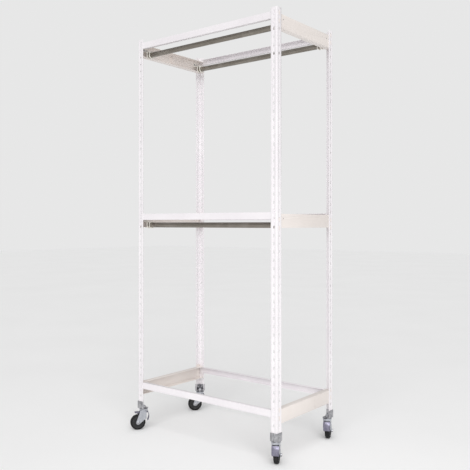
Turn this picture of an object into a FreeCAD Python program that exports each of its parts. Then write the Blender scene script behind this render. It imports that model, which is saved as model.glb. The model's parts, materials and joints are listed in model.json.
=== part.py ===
import FreeCAD, Part
import math
import os

# Rolling clothes rack: a boltless angle-steel frame with three hanger pipes, on four braked
# swivel casters. Millimetres; X runs along the long side, the front is at -Y, the floor is Z = 0.
# Near a post, a place is given by u, v: how far it lies inward from the post's outer faces,
# u along X and v along Y.

# Frame, outside the posts
FRAME_LENGTH = 840.0
FRAME_DEPTH = 463.0
FRAME_TOP = 1942.0

# Posts: equal angles with one column of slots down each flange
FLANGE = 32.0
POST_WALL = 2.0
CORNER_RADIUS = 2.5
SLOT_LINE = 16.5          # from the post's outer corner to the slot column
SLOT_WIDTH = 7.0
SLOT_LENGTH = 14.0
SLOT_PITCH = 35.0
SLOT_COUNT = 51
FIRST_SLOT_DROP = 21.0    # from the post's top to the first slot's centre

# Beams: channels that open inward, hooked into the posts from inside
PAINT_GAP = 0.1
BEAM_WALL = 1.5
END_BEAM_HEIGHT = 60.0
END_BEAM_WIDTH = 30.0
BEAM_SIDE_GAP = 1.0         # from an end beam to what stands beside it
LONG_BEAM_HEIGHT = 30.0
LONG_BEAM_WIDTH = 18.0
END_BEAM_BOTTOM = {"top": 1857.0, "middle": 1008.0, "bottom": 178.0}
LONG_BEAM_BOTTOM = {"top": 1896.0, "middle": 1045.0, "bottom": 206.0}
HOOK_PLATE_REACH = 31.0   # how far a beam's end plate runs along the post's flange
HOOK_PLATE_MARGIN = 9.0
HOOK_WIDTH = 5.2
HOOK_HALF_HEIGHT = 5.5
HOOK_LIP = 1.7
HOOK_DROP = 12.0
MIDDLE_TAB_WALL = 2.0      # an upright tab inside each top end beam, halfway along
MIDDLE_TAB_HEIGHT = 36.0
MIDDLE_TAB_DEPTH = 12.0

# Hanger pipes and the saddles that hold them
PIPE_RADIUS = 12.5
PIPE_BORE_RADIUS = 11.3
PIPE_INSET = 42.0         # from the post's outer face to the pipe's centre line
PIPE_RISE = 12.0          # from the end beam's underside to the pipe's centre line
SADDLE_WALL = 2.0
SADDLE_HALF_WIDTH = 17.0
SADDLE_HEAD = 14.5        # from the pipe's centre line to the saddle's roof
SADDLE_TOE = 16.0
SADDLE_TAB_TOP = 38.0
SADDLE_SPAN = 17.8
SADDLE_CLEARANCE = 0.3
SCREW_RADIUS = 2.5
SCREW_HEAD_RADIUS = 4.8
SCREW_HEAD_HEIGHT = 2.4
SCREW_SPACING = 18.0
SCREW_RISE = 28.0
CLEARANCE = 0.1

# Caster sockets: zinc shells round the posts' feet
SOCKET_WALL = 2.5
SOCKET_REACH = 34.5
SOCKET_BOTTOM = 106.0
SOCKET_TOP = 142.0
SOCKET_FLOOR = 3.0
CLAMP_WALL = 2.0
CLAMP_REACH = 30.0
CLAMP_BOTTOM = 112.0
CLAMP_TOP = 140.0
FOOT_BOLT_HEIGHT = 126.0
FOOT_BOLT_RADIUS = 3.0
FOOT_BOLT_HEAD_RADIUS = 5.5
FOOT_BOLT_HEAD = 1.9
FOOT_BOLT_END = 10.2
FOOT_NUT_FLATS = 10.0
FOOT_NUT_HEIGHT = 5.0

# Casters: a swivel head, a fork with its trailing wheel, and a rocking brake lever
STEM_INSET = 18.0
STEM_RADIUS = 6.0
STEM_TOP = 120.0
STEM_NUT_FLATS = 18.0
STEM_NUT_HEIGHT = 8.0
COLLAR_FLATS = 19.0
RACE_RADIUS = 21.0
RACE_TOP = 104.0
RACE_UNDERSIDE = 101.0
SKIRT_WALL = 1.5
SKIRT_BOTTOM = 97.5
RIVET_RADIUS = 9.0
RIVET_BOTTOM = 89.6
BALL_RADIUS = 1.95
BALL_CIRCLE = 14.0
BALL_COUNT = 16
DISH_RADIUS = 19.0
DISH_TOP = 97.0
CROWN_BOTTOM = 92.0
CROWN_TOP = 94.5
HEAD_GAP = 0.2
WHEEL_RADIUS = 37.5
TRAIL = 28.0
LEG_INSIDE = 14.5
LEG_OUTSIDE = 17.0
LEG_FRONT = -13.0
LEG_BACK = 17.0
LEG_ELBOW = 58.0
LEG_END_RADIUS = 10.0
LEG_END_ANGLES = (10, -60, -130)   # where the round end starts, its middle and its end
AXLE_RADIUS = 4.0
AXLE_NUT_FLATS = 13.0
AXLE_END = 22.5
AXLE_TIP = 1.0             # how far the bolt stands out of its nut
RUNNING_FIT = 0.08
TYRE_HALF_WIDTH = 12.0
TYRE_INNER_RADIUS = 28.0
TREAD_HALF_FLAT = 5.0
TREAD_SHOULDER = 32.5
SHOULDER_RISE = 3.0
SHOULDER_STEP = 2.0
TREAD_EDGE_DROP = 0.5
HUB_HALF_WIDTH = 11.0
BOSS_RADIUS = 11.0
BOSS_HALF_WIDTH = 13.6
WEB_HALF_WIDTH = 5.0
RIM_INNER_RADIUS = 24.0
LEVER_PIVOT = (-7.0, 83.0)
LEVER_PIN_RADIUS = 2.5
LEVER_PIN_END = 1.0        # how far the pin stands out of each leg
LEVER_BARREL_RADIUS = 4.5
LEVER_WALL = 2.0
LEVER_TOP = 87.0
LEVER_HALF_WIDTH = 13.0
TOE_HALF_WIDTH = 15.0
TOE_START = 24.0
TOE_END = 44.0
SHOE_START = 21.0
SHOE_END = 34.0
SHOE_BOTTOM = 81.0
SHOE_HALF_WIDTH = 11.0
KICK_HALF_WIDTH = 16.0
KICK_TOP = (-21.0, 89.5)
KICK_CREST = (-27.0, 72.0)
KICK_TIP = (-20.0, 46.0)

SIDES = {"left": -1, "right": 1}
FACES = {"front": -1, "back": 1}
CORNERS = [(face, side) for face in FACES for side in SIDES]
PIPES = [("top", "front"), ("top", "back"), ("middle", "front")]

# Which way each wheel trails from its stem at rest, in degrees from +X
HEADINGS = {
    ("front", "right"): 117.0,
    ("back", "right"): 112.0,
    ("front", "left"): -128.0,
    ("back", "left"): -134.0,
}

UP = FreeCAD.Vector(0, 0, 1)
ORIGIN = FreeCAD.Vector(0, 0, 0)


def block(x, y, z):
    """A box between pairs of x, y and z, each given in either order."""
    low = FreeCAD.Vector(min(x), min(y), min(z))
    return Part.makeBox(abs(x[1] - x[0]), abs(y[1] - y[0]), abs(z[1] - z[0]), low)


def world_x(side, u):
    return SIDES[side] * (FRAME_LENGTH / 2 - u)


def world_y(face, v):
    return FACES[face] * (FRAME_DEPTH / 2 - v)


def corner_block(face, side, u, v, z):
    """A box at a post, between distances u and v inward from its outer faces."""
    x = (world_x(side, u[0]), world_x(side, u[1]))
    y = (world_y(face, v[0]), world_y(face, v[1]))
    return block(x, y, z)


def rod(radius, start, end):
    """A cylinder from one point to another."""
    start, end = FreeCAD.Vector(*start), FreeCAD.Vector(*end)
    return Part.makeCylinder(radius, (end - start).Length, start, end - start)


def hexagon(flats, start, end):
    """A hexagonal prism from one point to another, given across its flats."""
    start, end = FreeCAD.Vector(*start), FreeCAD.Vector(*end)
    radius = flats / math.sqrt(3)
    rim = [FreeCAD.Vector(radius * math.cos(a), radius * math.sin(a), 0)
           for a in (math.radians(60 * i) for i in range(7))]
    prism = Part.Face(Part.makePolygon(rim)).extrude(UP * (end - start).Length)
    prism.Placement = FreeCAD.Placement(start, FreeCAD.Rotation(UP, end - start))
    return prism


def fused(first, *others):
    """One solid from several that meet."""
    return first.multiFuse(list(others)).removeSplitter()


def slot_heights():
    """Centres of the slots down a post, from the top."""
    first = FRAME_TOP - FIRST_SLOT_DROP
    return [first - SLOT_PITCH * i for i in range(SLOT_COUNT)]


def slot_outline(along, across, middle):
    """A round-ended upright slot about a point, in the plane of `across` and Z."""
    half = SLOT_WIDTH / 2
    rise = UP * ((along - SLOT_WIDTH) / 2)
    right = across * half
    top = Part.Arc(middle + rise - right, middle + rise + UP * half, middle + rise + right)
    bottom = Part.Arc(middle - rise + right, middle - rise - UP * half, middle - rise - right)
    right_side = Part.LineSegment(middle + rise + right, middle - rise + right)
    left_side = Part.LineSegment(middle - rise - right, middle + rise - right)
    return Part.Wire([edge.toShape() for edge in (top, right_side, bottom, left_side)])


def slotted_flange(corner, along, inward, start):
    """One flange of a post: it runs from `start` to FLANGE and has the slots and a foot hole."""
    near, far = along * start, along * FLANGE
    foot = UP * (SOCKET_BOTTOM + SOCKET_FLOOR + PAINT_GAP)
    head = UP * FRAME_TOP
    outline = [corner + p for p in (near + foot, far + foot, far + head, near + head, near + foot)]
    plate = Part.Face(Part.makePolygon(outline))
    holes = [slot_outline(SLOT_LENGTH, along, corner + along * SLOT_LINE + UP * z)
             for z in slot_heights()]
    foot_hole = Part.Circle(corner + along * SLOT_LINE + UP * FOOT_BOLT_HEIGHT, inward,
                            FOOT_BOLT_RADIUS + CLEARANCE)
    holes.append(Part.Wire([foot_hole.toShape()]))
    cut = plate.cut(Part.Compound([Part.Face(hole) for hole in holes]))
    return cut.extrude(inward * POST_WALL)


def post(face, side):
    corner = FreeCAD.Vector(world_x(side, 0), world_y(face, 0), 0)
    along_x = FreeCAD.Vector(-SIDES[side], 0, 0)
    along_y = FreeCAD.Vector(0, -FACES[face], 0)
    front = slotted_flange(corner, along_x, along_y, 0)
    flank = slotted_flange(corner, along_y, along_x, POST_WALL)
    angle = fused(front, flank)
    edges = [e for e in angle.Edges
             if all(abs(v.X - corner.x) < CLEARANCE and abs(v.Y - corner.y) < CLEARANCE
                    for v in e.Vertexes)]
    return angle.makeFillet(CORNER_RADIUS, edges)


def hook_slots(low, height):
    """The two post slots nearest to a beam's middle, the lower one first."""
    middle = low + height / 2
    return sorted(sorted(slot_heights(), key=lambda z: abs(z - middle))[:2])


def hooked_end(low, height, place):
    """A beam's end plate and its two hooks. `place` makes a box from distances
    in from the post's face, along its flange, and up."""
    slots = hook_slots(low, height)
    inner = POST_WALL + PAINT_GAP
    bottom = min(low, slots[0] - HOOK_PLATE_MARGIN)
    top = max(low + height, slots[1] + HOOK_PLATE_MARGIN)
    start = inner + BEAM_WALL + 2 * PAINT_GAP
    pieces = [place((inner, inner + BEAM_WALL), (start, HOOK_PLATE_REACH), (bottom, top))]
    sides = (SLOT_LINE - HOOK_WIDTH / 2, SLOT_LINE + HOOK_WIDTH / 2)
    for z in slots:
        neck = (z - HOOK_HALF_HEIGHT, z + HOOK_HALF_HEIGHT)
        lip = (z - HOOK_DROP, z + HOOK_HALF_HEIGHT)
        pieces.append(place((-PAINT_GAP, inner), sides, neck))
        pieces.append(place((-PAINT_GAP - HOOK_LIP, -PAINT_GAP), sides, lip))
    return pieces


def end_beam(level, side):
    """A short channel along Y between two hooked end pieces. Its web lies behind the posts'
    side flanges."""
    low = END_BEAM_BOTTOM[level]
    high = low + END_BEAM_HEIGHT
    inner = POST_WALL + PAINT_GAP
    web = (world_x(side, inner), world_x(side, inner + BEAM_WALL))
    whole = (world_x(side, inner), world_x(side, END_BEAM_WIDTH + inner))
    length = (world_y("front", inner + BEAM_WALL + 2 * PAINT_GAP),
              world_y("back", inner + BEAM_WALL + 2 * PAINT_GAP))
    pieces = [
        block(web, length, (low, high)),
        block(whole, length, (low, low + BEAM_WALL)),
        block(whole, length, (high - BEAM_WALL, high)),
    ]
    for face in FACES:
        pieces += hooked_end(low, END_BEAM_HEIGHT,
                             lambda into, along, z: corner_block(face, side, into, along, z))
    if level == "top":
        middle = (low + high) / 2
        pieces.append(block((web[1], world_x(side, inner + BEAM_WALL + MIDDLE_TAB_DEPTH)),
                            (-MIDDLE_TAB_WALL / 2, MIDDLE_TAB_WALL / 2),
                            (middle - MIDDLE_TAB_HEIGHT / 2, middle + MIDDLE_TAB_HEIGHT / 2)))
    cuts = [screw_hole(place, side, y)
            for place in PIPES if place[0] == level for y in screw_places(place)]
    cuts += [end_seam(face) for face in FACES]
    return fused(*pieces).cut(Part.Compound(cuts))


def end_seam(face):
    """The seam where an end beam's channel meets its end piece, just behind the post's edge."""
    return block((-FRAME_LENGTH, FRAME_LENGTH),
                 (world_y(face, HOOK_PLATE_REACH), world_y(face, HOOK_PLATE_REACH + PAINT_GAP)),
                 (0, FRAME_TOP))


def long_beam(level, face):
    """A long channel along X. Its web lies behind the posts' front or back flanges."""
    low = LONG_BEAM_BOTTOM[level]
    high = low + LONG_BEAM_HEIGHT
    inner = POST_WALL + PAINT_GAP
    web = (world_y(face, inner), world_y(face, inner + BEAM_WALL))
    whole = (world_y(face, inner), world_y(face, inner + LONG_BEAM_WIDTH))
    reach = inner + BEAM_WALL + 2 * PAINT_GAP
    clear = inner + END_BEAM_WIDTH + BEAM_SIDE_GAP
    length = (world_x("left", reach), world_x("right", reach))
    flange_length = (world_x("left", clear), world_x("right", clear))
    pieces = [
        block(length, web, (low, high)),
        block(flange_length, whole, (low, low + BEAM_WALL)),
        block(flange_length, whole, (high - BEAM_WALL, high)),
    ]
    for side in SIDES:
        pieces += hooked_end(low, LONG_BEAM_HEIGHT,
                             lambda into, along, z: corner_block(face, side, along, into, z))
    return fused(*pieces)


def pipe_centre(place):
    """Y and Z of a hanger pipe's centre line."""
    level, face = place
    return world_y(face, PIPE_INSET), END_BEAM_BOTTOM[level] + PIPE_RISE


def saddle_wall_starts():
    """Distances u of a saddle's two upright walls, the outer one first."""
    outer = POST_WALL + PAINT_GAP + END_BEAM_WIDTH + BEAM_SIDE_GAP
    return outer, outer + SADDLE_SPAN - SADDLE_WALL


def hanger_pipe(place):
    y, z = pipe_centre(place)
    u = saddle_wall_starts()[0]
    ends = [(world_x(side, u), y, z) for side in SIDES]
    return rod(PIPE_RADIUS, *ends).cut(rod(PIPE_BORE_RADIUS, *ends))


def screw_places(place):
    y = pipe_centre(place)[0]
    return y - SCREW_SPACING / 2, y + SCREW_SPACING / 2


def screw_hole(place, side, y):
    z = pipe_centre(place)[1] + SCREW_RISE
    return rod(SCREW_RADIUS + CLEARANCE, (world_x(side, 0), y, z), (world_x(side, PIPE_INSET), y, z))


def pipe_bracket(place, side):
    """A saddle: a tab on the end beam's web, a roof, and two walls that the pipe passes through."""
    y, z = pipe_centre(place)
    width = (y - SADDLE_HALF_WIDTH, y + SADDLE_HALF_WIDTH)
    back = POST_WALL + 2 * PAINT_GAP + BEAM_WALL
    outer, inner = saddle_wall_starts()
    roof = (z + SADDLE_HEAD, z + SADDLE_HEAD + SADDLE_WALL)

    def across(u):
        return world_x(side, u[0]), world_x(side, u[1])

    pieces = [
        block(across((back, back + SADDLE_WALL)), width, (roof[0], z + SADDLE_TAB_TOP)),
        block(across((back, inner + SADDLE_WALL)), width, roof),
    ]
    for start in (outer, inner):
        wall = block(across((start, start + SADDLE_WALL)), width, (z - SADDLE_TOE, roof[1]))
        toes = [e for e in wall.Edges
                if all(v.Z < z - SADDLE_TOE + CLEARANCE for v in e.Vertexes)
                and abs(e.Vertexes[0].X - e.Vertexes[1].X) > CLEARANCE]
        pieces.append(wall.makeFillet(SADDLE_TOE / 2, toes))
    saddle = fused(*pieces)
    bore = rod(PIPE_RADIUS + SADDLE_CLEARANCE,
               (world_x(side, outer - SADDLE_WALL), y, z), (world_x(side, inner + 2 * SADDLE_WALL), y, z))
    holes = [screw_hole(place, side, screw_y) for screw_y in screw_places(place)]
    return saddle.cut(Part.Compound([bore] + holes))


def pipe_bracket_screws():
    screws = []
    head = POST_WALL + 2 * PAINT_GAP + BEAM_WALL + SADDLE_WALL
    for place in PIPES:
        z = pipe_centre(place)[1] + SCREW_RISE
        for side in SIDES:
            for y in screw_places(place):
                tip = (world_x(side, POST_WALL + PAINT_GAP), y, z)
                seat = (world_x(side, head), y, z)
                crown = (world_x(side, head + SCREW_HEAD_HEIGHT), y, z)
                screws.append(fused(rod(SCREW_RADIUS, tip, crown),
                                    rod(SCREW_HEAD_RADIUS, seat, crown)))
    return Part.Compound(screws)


def foot_bolt_line(face, side, first_flange, distance):
    """A point on a foot bolt's axis, at a distance in from the post's outer face."""
    u, v = (SLOT_LINE, distance) if first_flange else (distance, SLOT_LINE)
    return world_x(side, u), world_y(face, v), FOOT_BOLT_HEIGHT


def foot_bolt_holes(face, side):
    return [rod(FOOT_BOLT_RADIUS + CLEARANCE,
                foot_bolt_line(face, side, first, -2 * SOCKET_WALL),
                foot_bolt_line(face, side, first, FOOT_BOLT_END)) for first in (True, False)]


def caster_socket(face, side):
    """A shell outside the post's foot, closed below by the plate that takes the caster's stem."""
    outer = -PAINT_GAP - SOCKET_WALL
    wall, reach = (outer, -PAINT_GAP), (outer, SOCKET_REACH)
    shell = fused(
        corner_block(face, side, wall, reach, (SOCKET_BOTTOM, SOCKET_TOP)),
        corner_block(face, side, reach, wall, (SOCKET_BOTTOM, SOCKET_TOP)),
        corner_block(face, side, reach, reach, (SOCKET_BOTTOM, SOCKET_BOTTOM + SOCKET_FLOOR)),
    )
    x, y = stem_place(face, side)
    stem_hole = rod(STEM_RADIUS + 2 * CLEARANCE, (x, y, RACE_TOP), (x, y, STEM_TOP))
    return shell.cut(Part.Compound([stem_hole] + foot_bolt_holes(face, side)))


def clamp_angle(face, side):
    """A short angle inside the post's foot, which the bolts draw against the socket."""
    inner = POST_WALL + PAINT_GAP
    wall, reach = (inner, inner + CLAMP_WALL), (inner, CLAMP_REACH)
    height = (CLAMP_BOTTOM, CLAMP_TOP)
    angle = fused(corner_block(face, side, wall, reach, height),
                  corner_block(face, side, reach, wall, height))
    return angle.cut(Part.Compound(foot_bolt_holes(face, side)))


def foot_bolts(face, side):
    bolts = []
    seat = -PAINT_GAP - SOCKET_WALL
    for first in (True, False):
        crown = foot_bolt_line(face, side, first, seat - FOOT_BOLT_HEAD)
        shank = rod(FOOT_BOLT_RADIUS, crown, foot_bolt_line(face, side, first, FOOT_BOLT_END))
        head = rod(FOOT_BOLT_HEAD_RADIUS, crown, foot_bolt_line(face, side, first, seat))
        bolts.append(fused(shank, head))
    return bolts


def foot_nuts(face, side):
    nuts = []
    seat = POST_WALL + PAINT_GAP + CLAMP_WALL
    for first in (True, False):
        ends = [foot_bolt_line(face, side, first, d) for d in (seat, seat + FOOT_NUT_HEIGHT)]
        nuts.append(hexagon(FOOT_NUT_FLATS, *ends).cut(rod(FOOT_BOLT_RADIUS, *ends)))
    return nuts


def stem_place(face, side):
    return world_x(side, STEM_INSET), world_y(face, STEM_INSET)


def at_caster(shape, face, side):
    """Turns a piece made about a stem at the origin, with its wheel at +X, to its place."""
    shape.rotate(ORIGIN, UP, HEADINGS[face, side])
    shape.translate(FreeCAD.Vector(*stem_place(face, side), 0))
    return shape


def upright(radius, bottom, top):
    return rod(radius, (0, 0, bottom), (0, 0, top))


def stem_nut():
    seat = SOCKET_BOTTOM + SOCKET_FLOOR
    return hexagon(STEM_NUT_FLATS, (0, 0, seat), (0, 0, seat + STEM_NUT_HEIGHT)).cut(
        upright(STEM_RADIUS, seat, seat + STEM_NUT_HEIGHT))


def caster_stem():
    """The stem with its hexagon collar, the upper race with its skirt, and the rivet head."""
    skirt = upright(RACE_RADIUS, SKIRT_BOTTOM, RACE_TOP).cut(
        upright(RACE_RADIUS - SKIRT_WALL, SKIRT_BOTTOM, RACE_UNDERSIDE))
    return fused(
        upright(STEM_RADIUS, RIVET_BOTTOM, STEM_TOP),
        hexagon(COLLAR_FLATS, (0, 0, RACE_TOP), (0, 0, SOCKET_BOTTOM)),
        skirt,
        upright(RIVET_RADIUS, RIVET_BOTTOM, CROWN_BOTTOM - HEAD_GAP),
    )


def swivel_balls():
    height = (RACE_UNDERSIDE + DISH_TOP) / 2
    balls = []
    for i in range(BALL_COUNT):
        angle = 2 * math.pi * i / BALL_COUNT
        centre = FreeCAD.Vector(BALL_CIRCLE * math.cos(angle), BALL_CIRCLE * math.sin(angle), height)
        balls.append(Part.makeSphere(BALL_RADIUS, centre))
    return balls


def side_profile(outline, half_width):
    """Extrudes a closed outline in the caster's side plane evenly to both sides."""
    face = Part.Face(Part.Wire(outline))
    face.translate(FreeCAD.Vector(0, -half_width, 0))
    return face.extrude(FreeCAD.Vector(0, 2 * half_width, 0))


def side_point(r, z):
    return FreeCAD.Vector(r, 0, z)


def line(start, end):
    return Part.LineSegment(side_point(*start), side_point(*end)).toShape()


def arc(start, middle, end):
    return Part.Arc(side_point(*start), side_point(*middle), side_point(*end)).toShape()


def on_leg_end(degrees):
    angle = math.radians(degrees)
    return TRAIL + LEG_END_RADIUS * math.cos(angle), WHEEL_RADIUS + LEG_END_RADIUS * math.sin(angle)


def caster_fork():
    """Two legs, the crown with its lower race, and the brake lever's cross pin."""
    back_end, low_end, front_end = (on_leg_end(a) for a in LEG_END_ANGLES)
    outline = [
        line((LEG_FRONT, CROWN_TOP), (LEG_BACK, CROWN_TOP)),
        line((LEG_BACK, CROWN_TOP), back_end),
        arc(back_end, low_end, front_end),
        line(front_end, (LEG_FRONT, LEG_ELBOW)),
        line((LEG_FRONT, LEG_ELBOW), (LEG_FRONT, CROWN_TOP)),
    ]
    legs = side_profile(outline, LEG_OUTSIDE)
    gap = block((2 * LEG_FRONT, 2 * TRAIL), (-LEG_INSIDE, LEG_INSIDE), (0, CROWN_BOTTOM))
    pin_end = LEG_OUTSIDE + LEVER_PIN_END
    pin = rod(LEVER_PIN_RADIUS, (LEVER_PIVOT[0], -pin_end, LEVER_PIVOT[1]),
              (LEVER_PIVOT[0], pin_end, LEVER_PIVOT[1]))
    fork = fused(legs.cut(gap), upright(DISH_RADIUS, CROWN_BOTTOM, DISH_TOP), pin)
    stem_hole = upright(STEM_RADIUS + CLEARANCE, CROWN_BOTTOM, DISH_TOP)
    axle_hole = rod(AXLE_RADIUS, (TRAIL, -LEG_OUTSIDE, WHEEL_RADIUS), (TRAIL, LEG_OUTSIDE, WHEEL_RADIUS))
    return fork.cut(Part.Compound([stem_hole, axle_hole]))


def wheel_axle():
    """A bolt through both legs, with a hexagon head and a nut."""
    def point(y):
        return TRAIL, y, WHEEL_RADIUS
    shank = rod(AXLE_RADIUS, point(-AXLE_END), point(AXLE_END))
    head = hexagon(AXLE_NUT_FLATS, point(-AXLE_END), point(-LEG_OUTSIDE))
    nut = hexagon(AXLE_NUT_FLATS, point(LEG_OUTSIDE), point(AXLE_END - AXLE_TIP))
    return fused(shank, head, nut)


def about_axle(profile):
    """Turns a closed outline of (radius, distance along the axle) round the wheel's axle."""
    points = [FreeCAD.Vector(TRAIL, y, WHEEL_RADIUS + radius) for radius, y in profile]
    face = Part.Face(Part.makePolygon(points + points[:1]))
    return face.revolve(FreeCAD.Vector(TRAIL, 0, WHEEL_RADIUS), FreeCAD.Vector(0, 1, 0), 360)


def wheel_hub():
    bore = AXLE_RADIUS + RUNNING_FIT
    half = [
        (bore, BOSS_HALF_WIDTH), (BOSS_RADIUS, BOSS_HALF_WIDTH), (BOSS_RADIUS, WEB_HALF_WIDTH),
        (RIM_INNER_RADIUS, WEB_HALF_WIDTH), (RIM_INNER_RADIUS, HUB_HALF_WIDTH),
        (TYRE_INNER_RADIUS, HUB_HALF_WIDTH),
    ]
    return about_axle(half + [(radius, -y) for radius, y in reversed(half)])


def wheel_tyre():
    half = [
        (TYRE_INNER_RADIUS, TYRE_HALF_WIDTH), (TREAD_SHOULDER, TYRE_HALF_WIDTH),
        (TREAD_SHOULDER + SHOULDER_RISE, TYRE_HALF_WIDTH - SHOULDER_STEP),
        (WHEEL_RADIUS - TREAD_EDGE_DROP, TREAD_HALF_FLAT + SHOULDER_STEP),
        (WHEEL_RADIUS, TREAD_HALF_FLAT),
    ]
    return about_axle(half + [(radius, -y) for radius, y in reversed(half)])


def inward(point, distance=LEVER_WALL):
    """A point of the kick plate's outer face, moved inward by its thickness."""
    return point[0] + distance, point[1]


def brake_lever():
    """A rocker on the fork's cross pin: a toe plate over the wheel with the brake shoe
    under it, and a curved kick plate down the fork's leading side."""
    underside = LEVER_TOP - LEVER_WALL
    kick = side_profile([
        arc(KICK_TOP, KICK_CREST, KICK_TIP),
        line(KICK_TIP, inward(KICK_TIP)),
        arc(inward(KICK_TIP), inward(KICK_CREST), inward(KICK_TOP)),
        line(inward(KICK_TOP), KICK_TOP),
    ], KICK_HALF_WIDTH)
    arm = block((KICK_TOP[0] - LEVER_WALL, TOE_END), (-LEVER_HALF_WIDTH, LEVER_HALF_WIDTH),
                (underside, LEVER_TOP))
    toe = block((TOE_START, TOE_END), (-TOE_HALF_WIDTH, TOE_HALF_WIDTH), (underside, LEVER_TOP))
    shoe = block((SHOE_START, SHOE_END), (-SHOE_HALF_WIDTH, SHOE_HALF_WIDTH), (SHOE_BOTTOM, underside))
    pivot = [(LEVER_PIVOT[0], y, LEVER_PIVOT[1]) for y in (-LEVER_HALF_WIDTH, LEVER_HALF_WIDTH)]
    barrel = rod(LEVER_BARREL_RADIUS, *pivot).common(
        block((2 * LEG_FRONT, LEG_BACK), (-LEG_INSIDE, LEG_INSIDE), (0, LEVER_TOP)))
    return fused(arm, kick, toe, shoe, barrel).cut(rod(LEVER_PIN_RADIUS + RUNNING_FIT, *pivot))


def build():
    """Every piece by its name, about the middle of the frame."""
    nodes = {}
    for face, side in CORNERS:
        where = f"{face}_{side}"
        nodes[f"post_{where}"] = post(face, side)
        nodes[f"caster_socket_{where}"] = caster_socket(face, side)
        nodes[f"caster_stem_{where}"] = at_caster(caster_stem(), face, side)
        nodes[f"caster_fork_{where}"] = at_caster(caster_fork(), face, side)
        nodes[f"wheel_axle_{where}"] = at_caster(wheel_axle(), face, side)
        nodes[f"wheel_hub_{where}"] = at_caster(wheel_hub(), face, side)
        nodes[f"wheel_tyre_{where}"] = at_caster(wheel_tyre(), face, side)
        nodes[f"brake_lever_{where}"] = at_caster(brake_lever(), face, side)
    for level in END_BEAM_BOTTOM:
        for side in SIDES:
            nodes[f"end_beam_{level}_{side}"] = end_beam(level, side)
        for face in FACES:
            nodes[f"long_beam_{level}_{face}"] = long_beam(level, face)
    for place in PIPES:
        name = "_".join(place)
        nodes[f"hanger_pipe_{name}"] = hanger_pipe(place)
        for side in SIDES:
            nodes[f"pipe_bracket_{name}_{side}"] = pipe_bracket(place, side)
    nodes["pipe_bracket_screws"] = pipe_bracket_screws()
    nodes["socket_clamp_angles"] = Part.Compound([clamp_angle(*c) for c in CORNERS])
    nodes["socket_bolts"] = Part.Compound([bolt for c in CORNERS for bolt in foot_bolts(*c)])
    nodes["socket_nuts"] = Part.Compound([nut for c in CORNERS for nut in foot_nuts(*c)])
    nodes["stem_nuts"] = Part.Compound([at_caster(stem_nut(), *c) for c in CORNERS])
    nodes["swivel_balls"] = Part.Compound(
        [at_caster(ball, *c) for c in CORNERS for ball in swivel_balls()])
    return nodes


def main():
    """Writes one STEP file per piece, with the origin below the middle of the whole rack's box."""
    os.makedirs("parts", exist_ok=True)
    nodes = build()
    whole = Part.Compound(list(nodes.values())).BoundBox
    shift = FreeCAD.Vector(-whole.Center.x, -whole.Center.y, 0)
    print(f"moved by {shift.x:.4f} {shift.y:.4f}, "
          f"box {whole.XLength:.2f} {whole.YLength:.2f} {whole.ZMin:.3f} {whole.ZMax:.3f}")
    for name, shape in nodes.items():
        shape.translate(shift)
        shape.exportStep(f"parts/{name}.step")
    print(len(nodes), "pieces")


main()
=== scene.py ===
import json
import math

import bpy
from mathutils import Matrix, Vector

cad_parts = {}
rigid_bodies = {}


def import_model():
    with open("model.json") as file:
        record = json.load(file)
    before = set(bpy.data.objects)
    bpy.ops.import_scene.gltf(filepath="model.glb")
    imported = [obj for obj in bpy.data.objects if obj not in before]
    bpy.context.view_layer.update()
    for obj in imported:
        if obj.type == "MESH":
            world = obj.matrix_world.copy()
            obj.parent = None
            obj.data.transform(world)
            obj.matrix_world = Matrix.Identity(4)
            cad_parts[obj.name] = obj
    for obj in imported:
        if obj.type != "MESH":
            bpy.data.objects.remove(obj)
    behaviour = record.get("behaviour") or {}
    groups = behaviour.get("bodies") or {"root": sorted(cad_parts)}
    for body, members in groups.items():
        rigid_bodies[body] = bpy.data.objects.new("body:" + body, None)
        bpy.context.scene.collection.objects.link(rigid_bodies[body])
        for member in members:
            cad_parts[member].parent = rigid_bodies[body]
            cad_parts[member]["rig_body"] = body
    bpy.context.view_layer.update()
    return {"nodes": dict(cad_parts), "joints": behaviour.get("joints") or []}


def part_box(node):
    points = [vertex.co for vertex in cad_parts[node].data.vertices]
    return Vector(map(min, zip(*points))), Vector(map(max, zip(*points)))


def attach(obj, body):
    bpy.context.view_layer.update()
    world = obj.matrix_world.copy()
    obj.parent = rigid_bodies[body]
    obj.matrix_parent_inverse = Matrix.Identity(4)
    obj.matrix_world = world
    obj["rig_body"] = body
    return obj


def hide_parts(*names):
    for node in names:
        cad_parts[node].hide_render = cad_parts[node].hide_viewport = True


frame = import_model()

# Rolling clothes rack: slotted white posts and beams, three hanger pipes, four braked casters.
# Metres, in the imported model's frame: the front is at -Y, the long side runs along X.
MM = 0.001
CORNERS = ("front_left", "front_right", "back_left", "back_right")
JOINTS = {joint["name"]: joint for joint in frame["joints"]}
MERGE = 0.002 * MM                # points closer than this are one point
FLAT_ANGLE = math.radians(0.4)    # faces that meet at less than this are one face
SHARP_ANGLE = math.radians(28)    # edges sharper than this are rounded
SMOOTH_ANGLE = math.radians(35)   # edges softer than this are shaded smoothly

# How far raw edges are rounded, and in how many steps
FINE_ROUND = 0.35 * MM
SMALL_ROUND = 0.4 * MM
SHEET_ROUND = 0.5 * MM
SOCKET_ROUND = 0.6 * MM
ROUND_STEPS = 2
SMOOTH_ROUND_STEPS = 3

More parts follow.
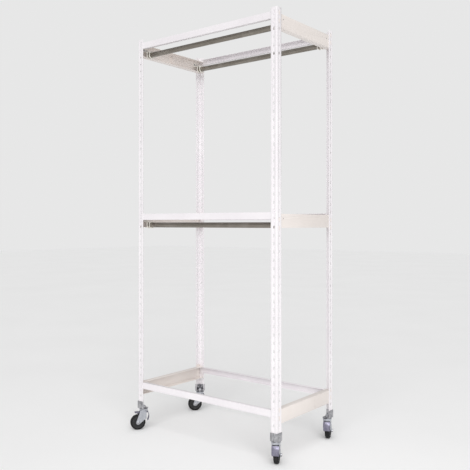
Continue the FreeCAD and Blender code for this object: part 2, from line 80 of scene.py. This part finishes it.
# Wheels
TYRE_RADIUS = 37.5 * MM
TYRE_HALF_WIDTH = 11.6 * MM
TYRE_SHOULDER = 7.2 * MM
TYRE_LIP = 1.0 * MM
TYRE_LIP_DEPTH = 0.6 * MM
TYRE_STEP = 0.6 * MM
SHOULDER_STEPS = 8
HUB_RADIUS = 28.05 * MM
HUB_HALF_WIDTH = 11.3 * MM
HUB_RIM = 3.6 * MM
HUB_DISH = 5.5 * MM
BOSS_RADIUS = 10.5 * MM
BOSS_RISE = 7.4 * MM
SPOKES = 10
SPOKE_WIDTH = 2.4 * MM
SPOKE_HALF_DEPTH = 9.0 * MM
SPOKE_OVERLAP = 0.6 * MM     # how far a spoke runs into the rim, and into the boss
WHEEL_FACETS = 96

# The brake shoe is the part of a lever that trails the swivel by this much, below this height
SHOE_REACH = 18 * MM
SHOE_TOP = 84.9 * MM

# Camera: right of and back from the front right post's outer corner, and above the floor
CAMERA_RIGHT = 1.567
CAMERA_BACK = 2.270
CAMERA_HEIGHT = 1.0248
CAMERA_TURN = math.radians(38.29)
CAMERA_LENS = 50.17
CAMERA_SHIFT = -0.0234

# Light, with the key softbox placed from the same corner and the floor
KEY_RIGHT = 1.7
KEY_BACK = 1.5
KEY_HEIGHT = 1.1
KEY_AIM_HEIGHT = 0.9
KEY_SIZE = 1.2
KEY_POWER = 17
EVEN_LIGHT = 1.6
EVEN_LIGHT_SPREAD = math.radians(50)
EVEN_LIGHT_WAY = Vector((-0.42, 0.60, -0.68))
DAYLIGHT_ON_RACK = 0.50
DAYLIGHT_SEEN = 0.80
FLOOR_SIZE = 40


# ---------------------------------------------------------------- camera, light and floor

def add_camera():
    """A level camera in front of the rack and to its right."""
    low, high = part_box("post_front_right")
    camera = bpy.data.objects.new("camera", bpy.data.cameras.new("camera"))
    bpy.context.scene.collection.objects.link(camera)
    camera.location = (high.x + CAMERA_RIGHT, low.y - CAMERA_BACK, CAMERA_HEIGHT)
    camera.rotation_euler = (math.radians(90), 0, CAMERA_TURN)
    camera.data.lens = CAMERA_LENS
    camera.data.shift_y = CAMERA_SHIFT
    bpy.context.scene.camera = camera


def add_softbox(name, place, target, size, power):
    """A square studio light that faces a point on the rack."""
    lamp = bpy.data.lights.new(name, "AREA")
    lamp.size = size
    lamp.energy = power
    box = bpy.data.objects.new(name, lamp)
    bpy.context.scene.collection.objects.link(box)
    box.location = place
    box.rotation_mode = "QUATERNION"
    box.rotation_quaternion = (Vector(target) - Vector(place)).to_track_quat("-Z", "Y")


def add_even_light(strength):
    """A very wide, soft light from above the front right, the same over the whole floor."""
    lamp = bpy.data.lights.new("even_light", "SUN")
    lamp.energy = strength
    lamp.angle = EVEN_LIGHT_SPREAD
    sky = bpy.data.objects.new("even_light", lamp)
    bpy.context.scene.collection.objects.link(sky)
    sky.rotation_mode = "QUATERNION"
    sky.rotation_quaternion = EVEN_LIGHT_WAY.to_track_quat("-Z", "Y")


def add_daylight(fill, seen):
    """Even white light all round: fill lights the rack, seen is how bright the backdrop looks."""
    world = bpy.data.worlds.new("white_room")
    bpy.context.scene.world = world
    world.use_nodes = True
    tree = world.node_tree
    dim = tree.nodes["Background"]
    dim.inputs["Color"].default_value = (1, 1, 1, 1)
    dim.inputs["Strength"].default_value = fill
    bright = tree.nodes.new("ShaderNodeBackground")
    bright.inputs["Strength"].default_value = seen
    bright.inputs["Color"].default_value = (1, 1, 1, 1)
    rays = tree.nodes.new("ShaderNodeLightPath")
    mix = tree.nodes.new("ShaderNodeMixShader")
    tree.links.new(rays.outputs["Is Camera Ray"], mix.inputs["Fac"])
    tree.links.new(dim.outputs[0], mix.inputs[1])
    tree.links.new(bright.outputs[0], mix.inputs[2])
    tree.links.new(mix.outputs[0], tree.nodes["World Output"].inputs["Surface"])


def light_rack():
    """Daylight all round, a key softbox off the front right corner, and an even light."""
    low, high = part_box("post_front_right")
    place = (high.x + KEY_RIGHT, low.y - KEY_BACK, KEY_HEIGHT)
    add_daylight(DAYLIGHT_ON_RACK, DAYLIGHT_SEEN)
    add_softbox("key_softbox", place, (high.x, low.y, KEY_AIM_HEIGHT), KEY_SIZE, KEY_POWER)
    add_even_light(EVEN_LIGHT)
    bpy.context.scene.view_settings.view_transform = "Standard"


def add_floor(finish):
    bpy.ops.mesh.primitive_plane_add(size=FLOOR_SIZE, location=(0, 0, 0))
    floor = bpy.context.object
    floor.name = "studio_floor"
    floor.data.materials.append(finish)


# ---------------------------------------------------------------- finishes

class Value:
    """A socket of a material's nodes; arithmetic on it adds Math nodes."""

    def __init__(self, finish, socket):
        self.finish = finish
        self.socket = socket

    def join(self, operation, first, second):
        return self.finish.node("Math", {"operation": operation}, {0: first, 1: second})

    def __add__(self, other):
        return self.join("ADD", self, other)

    def __sub__(self, other):
        return self.join("SUBTRACT", self, other)

    def __rsub__(self, other):
        return self.join("SUBTRACT", other, self)

    def __mul__(self, other):
        return self.join("MULTIPLY", self, other)

    __radd__ = __add__
    __rmul__ = __mul__


class Finish:
    """A material whose patterns lie on Object coordinates."""

    def __init__(self, name, constants):
        self.material = bpy.data.materials.new(name)
        self.material.use_nodes = True
        self.tree = self.material.node_tree
        self.shader = self.tree.nodes["Principled BSDF"]
        for socket, number in constants.items():
            self.shader.inputs[socket].default_value = number
        self.place = self.node("TexCoord", out="Object")

    def node(self, kind, settings=None, sockets=None, out=0):
        made = self.tree.nodes.new("ShaderNode" + kind)
        for name, setting in (settings or {}).items():
            setattr(made, name, setting)
        for name, source in (sockets or {}).items():
            self.feed(made.inputs[name], source)
        return Value(self, made.outputs[out])

    def feed(self, socket, source):
        if isinstance(source, Value):
            self.tree.links.new(source.socket, socket)
        else:
            socket.default_value = source

    def noise(self, scale, detail=3.0, stretch=(1, 1, 1)):
        place = self.node("Mapping", sockets={"Vector": self.place, "Scale": stretch})
        return self.node("TexNoise", sockets={"Vector": place, "Scale": scale, "Detail": detail})

    def cells(self, scale):
        return self.node("TexVoronoi", sockets={"Vector": self.place, "Scale": scale})

    def mask(self, source, low, high):
        return self.node("MapRange", sockets={"Value": source, "From Min": low, "From Max": high})

    def blend(self, factor, first, second):
        return self.node("Mix", {"data_type": "RGBA"}, {0: factor, 6: first, 7: second}, out=2)

    def colour(self, source):
        self.feed(self.shader.inputs["Base Color"], source)

    def roughness(self, source):
        self.feed(self.shader.inputs["Roughness"], source)

    def relief(self, height, distance):
        bump = self.node("Bump", sockets={"Height": height, "Distance": distance})
        self.feed(self.shader.inputs["Normal"], bump)


def powder_coat(name, tint, shadow, scuff):
    """Semi-gloss powder coat: a fine orange peel, soft clouds of tone and a few faint scuffs."""
    coat = Finish(name, {"Specular IOR Level": 0.45})
    clouds = coat.mask(coat.noise(5.0), 0.35, 0.68)
    scuffs = coat.mask(coat.noise(38.0, 6.0, (1, 1, 0.25)), 0.66, 0.74)
    specks = coat.mask(coat.cells(420.0), 0.055, 0.03)
    tone = coat.blend(clouds, tint, shadow)
    coat.colour(coat.blend(scuffs * 0.18 + specks * 0.12, tone, scuff))
    coat.roughness(0.34 + clouds * 0.08 + scuffs * 0.22)
    coat.relief(coat.noise(620.0, 2.0) + coat.noise(170.0, 1.0) * 0.6, 0.04 * MM)
    return coat.material


def zinc_plate(name, light, dark, grain, stretch, base_roughness):
    """Zinc plate on pressed steel: streaks along the rolling direction and cloudy patches."""
    plate = Finish(name, {"Metallic": 1.0})
    streaks = plate.mask(plate.noise(grain, 5.0, stretch), 0.32, 0.68)
    patches = plate.mask(plate.noise(70.0, 4.0), 0.38, 0.62)
    pits = plate.mask(plate.noise(900.0, 2.0), 0.63, 0.72)
    plate.colour(plate.blend(streaks * 0.65 + patches * 0.35, light, dark))
    plate.roughness(base_roughness + streaks * 0.10 + patches * 0.12 + pits * 0.15)
    plate.relief(streaks - pits * 0.5, 0.03 * MM)
    return plate.material


def pipe_finish():
    """Bare pipe, darkened with painted reflection of dark surroundings: drawn lines along its
    length and rubbed patches.
    """
    pipe = Finish("drawn_pipe_painted_dark_reflection", {"Metallic": 0.85})
    drawn = pipe.mask(pipe.noise(900.0, 3.0, (0.012, 1, 1)), 0.30, 0.70)
    rubbed = pipe.mask(pipe.noise(16.0, 5.0), 0.50, 0.66)
    # These steel colours are darkened as painted reflection of dark surroundings, darker than the
    # bare steel itself.
    steel, line, bright = (0.32, 0.29, 0.25, 1), (0.17, 0.152, 0.13, 1), (0.42, 0.39, 0.35, 1)
    pipe.colour(pipe.blend(rubbed * 0.35, pipe.blend(drawn, steel, line), bright))
    pipe.roughness(0.26 + drawn * 0.08 + rubbed * 0.10)
    pipe.relief(drawn, 0.02 * MM)
    return pipe.material


def tyre_finish():
    """Black rubber, dusty in patches."""
    tyre = Finish("black_tyre_rubber", {"Specular IOR Level": 0.25})
    dust = tyre.mask(tyre.noise(60.0, 6.0), 0.50, 0.75)
    rubber, dusty = (0.012, 0.012, 0.013, 1), (0.05, 0.048, 0.046, 1)
    tyre.colour(tyre.blend(dust * 0.6, rubber, dusty))
    tyre.roughness(0.72 + dust * 0.2)
    tyre.relief(tyre.noise(800.0, 4.0), 0.12 * MM)
    return tyre.material


def nylon_finish():
    """Black moulded nylon with a fine spark-eroded texture."""
    nylon = Finish("black_hub_nylon", {"Specular IOR Level": 0.5})
    bloom = nylon.mask(nylon.noise(45.0, 4.0), 0.45, 0.75)
    black, bloomed = (0.018, 0.018, 0.019, 1), (0.04, 0.04, 0.042, 1)
    nylon.colour(nylon.blend(bloom, black, bloomed))
    nylon.roughness(0.42 + bloom * 0.15)
    nylon.relief(nylon.noise(1500.0, 2.0), 0.06 * MM)
    return nylon.material


def floor_finish():
    """Matt pale floor, a little uneven in tone."""
    paper = Finish("pale_floor", {"Roughness": 0.85, "Specular IOR Level": 0.15})
    tone = paper.mask(paper.noise(1.2), 0.3, 0.7)
    pale, duller = (0.95, 0.95, 0.95, 1), (0.93, 0.93, 0.93, 1)
    paper.colour(paper.blend(tone, pale, duller))
    return paper.material


WHITE = powder_coat("white_post_coat", (0.86, 0.83, 0.85, 1), (0.81, 0.775, 0.80, 1),
                    (0.60, 0.57, 0.58, 1))
# The end beams' cream tint is painted warm light falling from the right, laid on a copy of the
# white coat.
END_BEAM_WARM_LIGHT_COAT = powder_coat("end_beam_coat_painted_warm_light", (0.80, 0.745, 0.71, 1), (0.76, 0.70, 0.665, 1),
                    (0.58, 0.52, 0.49, 1))
BRACKET = powder_coat("bracket_coat", (0.84, 0.81, 0.75, 1), (0.79, 0.76, 0.70, 1),
                      (0.56, 0.53, 0.48, 1))
UPRIGHT = (1, 1, 0.05)       # streaks run up and down
SOCKET = zinc_plate("socket_zinc", (0.62, 0.62, 0.64, 1), (0.26, 0.26, 0.28, 1), 210.0,
                    UPRIGHT, 0.30)
CASTER = zinc_plate("caster_zinc", (0.62, 0.64, 0.68, 1), (0.40, 0.41, 0.45, 1), 320.0,
                    UPRIGHT, 0.24)
# The lever zinc's faint violet is its passivation; its dark tone is painted shade and painted
# reflection of dark surroundings.
LEVER_ZINC_AND_PAINTED_SHADE = zinc_plate("violet_zinc_darkened_with_painted_shade", (0.34, 0.33, 0.41, 1), (0.20, 0.19, 0.26, 1),
                   300.0, (1, 1, 0.2), 0.28)
FASTENER = zinc_plate("fastener_zinc", (0.60, 0.60, 0.62, 1), (0.36, 0.36, 0.38, 1), 700.0,
                      (1, 1, 1), 0.25)
PIPE = pipe_finish()
TYRE = tyre_finish()
NYLON = nylon_finish()


# ---------------------------------------------------------------- making and finishing pieces

def edit(piece):
    """Opens a piece in edit mode with nothing selected."""
    bpy.ops.object.select_all(action="DESELECT")
    bpy.context.view_layer.objects.active = piece
    piece.select_set(True)
    bpy.ops.object.mode_set(mode="EDIT")
    bpy.ops.mesh.select_all(action="DESELECT")


def close(piece):
    """Goes back to object mode and lets go of the piece."""
    bpy.ops.object.mode_set(mode="OBJECT")
    piece.select_set(False)


def select_faces(piece, wanted):
    """Selects the faces for which wanted(centre, normal) is true, and leaves edit mode open."""
    bpy.ops.object.mode_set(mode="OBJECT")
    for part in (piece.data.vertices, piece.data.edges):
        part.foreach_set("select", [False] * len(part))
    for face in piece.data.polygons:
        face.select = wanted(face.center, face.normal)
    bpy.ops.object.mode_set(mode="EDIT")
    bpy.ops.mesh.select_mode(type="FACE")


def round_edges(piece, width, steps=ROUND_STEPS):
    """Rounds every sharp edge and shades the piece smoothly between them."""
    bevel = piece.modifiers.new("rounding", "BEVEL")
    bevel.width = width
    bevel.segments = steps
    bevel.limit_method = "ANGLE"
    bevel.angle_limit = SHARP_ANGLE
    bevel.use_clamp_overlap = False
    shade(piece, bevel)


def shade(piece, modifier=None):
    """Applies a modifier, where one is given, and shades soft edges smoothly."""
    bpy.ops.object.select_all(action="DESELECT")
    bpy.context.view_layer.objects.active = piece
    piece.select_set(True)
    if modifier:
        bpy.ops.object.modifier_apply(modifier=modifier.name)
    bpy.ops.object.shade_smooth_by_angle(angle=SMOOTH_ANGLE)
    piece.select_set(False)


def finish_node(node, name, finish, rounding, steps=ROUND_STEPS):
    """A piece with a CAD node's shape, merged into whole faces, with its raw edges rounded."""
    body = frame["nodes"][node]["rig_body"]
    piece = bpy.data.objects.new(name, frame["nodes"][node].data.copy())
    bpy.context.scene.collection.objects.link(piece)
    edit(piece)
    bpy.ops.mesh.select_all(action="SELECT")
    bpy.ops.mesh.remove_doubles(threshold=MERGE)
    bpy.ops.mesh.dissolve_limited(angle_limit=FLAT_ANGLE)
    close(piece)
    round_edges(piece, rounding, steps)
    piece.data.materials.clear()
    piece.data.materials.append(finish)
    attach(piece, body)
    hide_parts(node)
    return piece


# ---------------------------------------------------------------- frame pieces

def finish_posts():
    for corner in CORNERS:
        finish_node(f"post_{corner}", f"slotted_post_{corner}", WHITE, FINE_ROUND)


def finish_beams():
    for level in ("top", "middle", "bottom"):
        for side in ("left", "right"):
            # The end beams take the coat whose cream tint is painted warm light.
            finish_node(f"end_beam_{level}_{side}", f"pressed_end_beam_{level}_{side}", END_BEAM_WARM_LIGHT_COAT,
                        SHEET_ROUND, SMOOTH_ROUND_STEPS)
        for face in ("front", "back"):
            finish_node(f"long_beam_{level}_{face}", f"pressed_long_beam_{level}_{face}", WHITE,
                        SHEET_ROUND, SMOOTH_ROUND_STEPS)


def finish_pipes():
    for pipe in ("top_front", "top_back", "middle_front"):
        finish_node(f"hanger_pipe_{pipe}", f"drawn_pipe_{pipe}", PIPE, SMALL_ROUND,
                    SMOOTH_ROUND_STEPS)
        for side in ("left", "right"):
            finish_node(f"pipe_bracket_{pipe}_{side}", f"pipe_saddle_{pipe}_{side}", BRACKET,
                        SMALL_ROUND)
    finish_node("pipe_bracket_screws", "saddle_screws", FASTENER, SMALL_ROUND,
                SMOOTH_ROUND_STEPS)


def finish_feet():
    for corner in CORNERS:
        finish_node(f"caster_socket_{corner}", f"pressed_socket_{corner}", SOCKET,
                    SOCKET_ROUND, SMOOTH_ROUND_STEPS)
    finish_node("socket_clamp_angles", "inner_clamp_angles", SOCKET, SMALL_ROUND)
    for group, name in (("socket_bolts", "foot_bolts"), ("socket_nuts", "foot_nuts"),
                        ("stem_nuts", "caster_nuts")):
        finish_node(group, name, FASTENER, FINE_ROUND)


# ---------------------------------------------------------------- casters

def wheel_place(corner):
    """The matrix that stands a wheel made round Z on its axle."""
    roll = JOINTS[f"wheel_roll_{corner}"]
    turn = Vector((0, 0, 1)).rotation_difference(Vector(roll["axis"]))
    return Matrix.Translation(roll["pos_m"]) @ turn.to_matrix().to_4x4()


def set_in_place(piece, place):
    piece.data.transform(place)
    piece.data.update()


def make_tyre():
    """A solid tyre round Z, spun from its section: round shoulders and a step on each side."""
    middle = TYRE_RADIUS - TYRE_SHOULDER
    step = middle - TYRE_LIP
    half = [(HUB_RADIUS, TYRE_HALF_WIDTH - TYRE_LIP_DEPTH),
            (step - TYRE_STEP, TYRE_HALF_WIDTH - TYRE_LIP_DEPTH), (step, TYRE_HALF_WIDTH)]
    for index in range(SHOULDER_STEPS + 1):
        angle = math.pi / 2 * index / SHOULDER_STEPS
        half.append((middle + TYRE_SHOULDER * math.sin(angle),
                     TYRE_HALF_WIDTH - TYRE_SHOULDER * (1 - math.cos(angle))))
    section = half + [(radius, -height) for radius, height in reversed(half)]
    bpy.ops.mesh.primitive_circle_add(vertices=len(section), radius=TYRE_SHOULDER)
    tyre = bpy.context.object
    for vertex, (radius, height) in zip(tyre.data.vertices, section):
        vertex.co = (radius, 0, height)
    edit(tyre)
    bpy.ops.mesh.select_all(action="SELECT")
    bpy.ops.mesh.spin(steps=WHEEL_FACETS, angle=2 * math.pi, center=(0, 0, 0), axis=(0, 0, 1))
    bpy.ops.mesh.select_all(action="SELECT")
    bpy.ops.mesh.remove_doubles(threshold=MERGE)
    bpy.ops.mesh.normals_make_consistent(inside=False)
    close(tyre)
    return tyre


def make_hub():
    """A nylon hub round Z: rim, dished web, and a boss for the axle."""
    bpy.ops.mesh.primitive_cylinder_add(vertices=WHEEL_FACETS, radius=HUB_RADIUS,
                                        depth=2 * HUB_HALF_WIDTH)
    hub = bpy.context.object
    for side in (-1, 1):
        edit(hub)
        select_faces(hub, lambda centre, normal: normal.z * side > 0.9)
        bpy.ops.mesh.inset(thickness=HUB_RIM)
        bpy.ops.mesh.extrude_region_move(
            TRANSFORM_OT_translate={"value": (0, 0, -side * HUB_DISH)})
        bpy.ops.mesh.inset(thickness=HUB_RADIUS - HUB_RIM - BOSS_RADIUS)
        bpy.ops.mesh.extrude_region_move(
            TRANSFORM_OT_translate={"value": (0, 0, side * BOSS_RISE)})
        close(hub)
    round_edges(hub, SHEET_ROUND)
    return hub


def make_spokes():
    """The ribs that stiffen the web, both sides in one."""
    length = HUB_RADIUS - HUB_RIM - BOSS_RADIUS + 2 * SPOKE_OVERLAP
    middle = BOSS_RADIUS - SPOKE_OVERLAP + length / 2
    ribs = []
    for index in range(SPOKES):
        angle = 2 * math.pi * index / SPOKES
        bpy.ops.mesh.primitive_cube_add(size=1)
        rib = bpy.context.object
        rib.data.transform(Matrix.Rotation(angle, 4, "Z")
                           @ Matrix.Translation((middle, 0, 0))
                           @ Matrix.Diagonal((length, SPOKE_WIDTH, 2 * SPOKE_HALF_DEPTH, 1)))
        ribs.append(rib)
    bpy.ops.object.select_all(action="DESELECT")
    for rib in ribs:
        rib.select_set(True)
    bpy.context.view_layer.objects.active = ribs[0]
    bpy.ops.object.join()
    spokes = bpy.context.object
    round_edges(spokes, SHEET_ROUND)
    return spokes


def join_pieces(first, second):
    bpy.ops.object.select_all(action="DESELECT")
    first.select_set(True)
    second.select_set(True)
    bpy.context.view_layer.objects.active = first
    bpy.ops.object.join()
    return first


def place_wheel_part(pattern, name, corner, finish, node):
    """Stands a copy of a wheel part on one caster's axle."""
    piece = bpy.data.objects.new(name, pattern.data.copy())
    bpy.context.scene.collection.objects.link(piece)
    piece.data.materials.clear()
    piece.data.materials.append(finish)
    set_in_place(piece, wheel_place(corner))
    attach(piece, f"wheel_{corner}")
    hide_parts(node)


def make_wheels():
    tyre = make_tyre()
    shade(tyre)
    hub = join_pieces(make_hub(), make_spokes())
    shade(hub)
    for corner in CORNERS:
        place_wheel_part(tyre, f"rubber_tyre_{corner}", corner, TYRE,
                         f"wheel_tyre_{corner}")
        place_wheel_part(hub, f"nylon_hub_{corner}", corner, NYLON,
                         f"wheel_hub_{corner}")
    bpy.data.objects.remove(tyre)
    bpy.data.objects.remove(hub)


def add_brake_rubber(lever, corner):
    """Gives the shoe under the toe plate its rubber finish."""
    swivel = Vector(JOINTS[f"swivel_turn_{corner}"]["pos_m"])
    axle = JOINTS[f"wheel_roll_{corner}"]["axis"]
    trailing = Vector((axle[1], -axle[0], 0))
    lever.data.materials.append(TYRE)
    for face in lever.data.polygons:
        reach = (face.center - swivel).dot(trailing)
        if reach > SHOE_REACH and face.center.z < SHOE_TOP:
            face.material_index = 1


def finish_casters():
    for corner in CORNERS:
        finish_node(f"caster_stem_{corner}", f"swivel_race_{corner}", CASTER,
                    SMALL_ROUND, SMOOTH_ROUND_STEPS)
        finish_node(f"caster_fork_{corner}", f"pressed_fork_{corner}", CASTER,
                    SHEET_ROUND, SMOOTH_ROUND_STEPS)
        finish_node(f"wheel_axle_{corner}", f"axle_bolt_{corner}", FASTENER,
                    SMALL_ROUND)
        lever = finish_node(f"brake_lever_{corner}", f"brake_plate_{corner}", LEVER_ZINC_AND_PAINTED_SHADE,
                            SMALL_ROUND)
        add_brake_rubber(lever, corner)


def finish_balls():
    """The balls of the swivels keep their own mesh and take the fasteners' zinc."""
    balls = frame["nodes"]["swivel_balls"].data
    balls.materials.clear()
    balls.materials.append(FASTENER)


# ---------------------------------------------------------------- the scene

add_camera()
finish_posts()
finish_beams()
finish_pipes()
finish_feet()
finish_casters()
make_wheels()
finish_balls()
add_floor(floor_finish())
light_rack()
